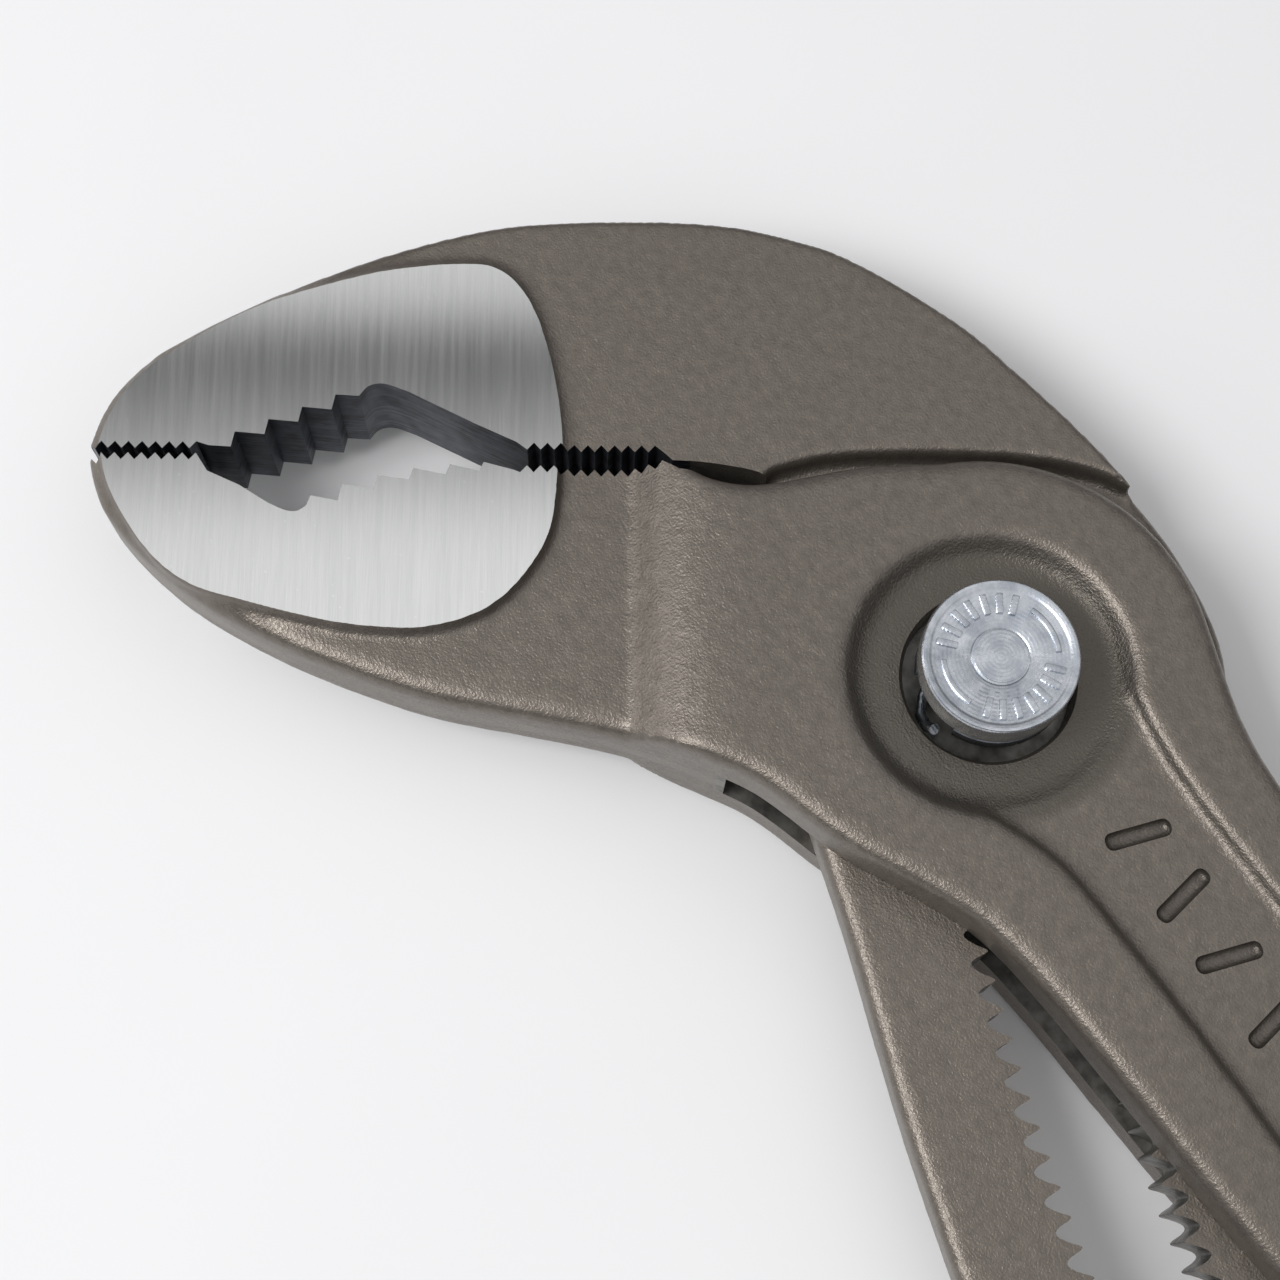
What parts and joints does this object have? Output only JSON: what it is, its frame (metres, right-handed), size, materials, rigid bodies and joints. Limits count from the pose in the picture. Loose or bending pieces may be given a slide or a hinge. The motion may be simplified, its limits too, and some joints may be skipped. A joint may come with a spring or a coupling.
{
  "type": "tongue and groove pliers",
  "caption": "Push-button tongue and groove pliers: a slotted jaw limb running through a box joint, toothed hinge bolt, sprung button and two-part grips.",
  "frame": {"origin": "on the pivot axis, on the flat back cheek that the tool lies on", "axes": "+Z along the hinge bolt towards the button, +X from the handles to the jaws, +Y to the side that the jaw tips point to"},
  "size_m": [0.2504, 0.0801, 0.018],
  "materials": {
    "forged_steel": "forged chrome vanadium steel, grey phosphated, jaw faces ground bright",
    "bolt_steel": "turned and milled steel, lightly oiled",
    "plated_button": "zinc plated steel",
    "spring_wire": "bright drawn spring wire",
    "grip_core": "moulded nylon",
    "grip_sleeve": "soft moulded elastomer"
  },
  "bodies": {
    "upper_limb": {"upper_jaw_limb": "forged_steel", "upper_grip_core": "grip_core", "upper_grip_sleeve": "grip_sleeve"},
    "slot_carrier": {"button_spring": "spring_wire"},
    "bolt": {"hinge_bolt": "bolt_steel", "push_button": "plated_button"},
    "lower_limb": {"lower_jaw_limb": "forged_steel", "lower_grip_core": "grip_core", "lower_grip_sleeve": "grip_sleeve"}
  },
  "joints": [
    {"name": "slot_adjust", "type": "hinge", "parent": "upper_limb", "child": "slot_carrier", "pos_m": [-0.07174, -0.16159, 0.0068], "axis": [0, 0, 1], "range_deg": [0, 16.13]},
    {"name": "button_press", "type": "slide", "parent": "slot_carrier", "child": "bolt", "axis": [0, 0, -1], "range_m": [0, 0.0033], "stiffness_N_per_m": 1500, "springref_m": -0.003, "deforming": ["button_spring"]},
    {"name": "jaw_pivot", "type": "hinge", "parent": "slot_carrier", "child": "lower_limb", "pos_m": [0, 0, 0], "axis": [0, 0, 1], "range_deg": [0, 25]}
  ]
}
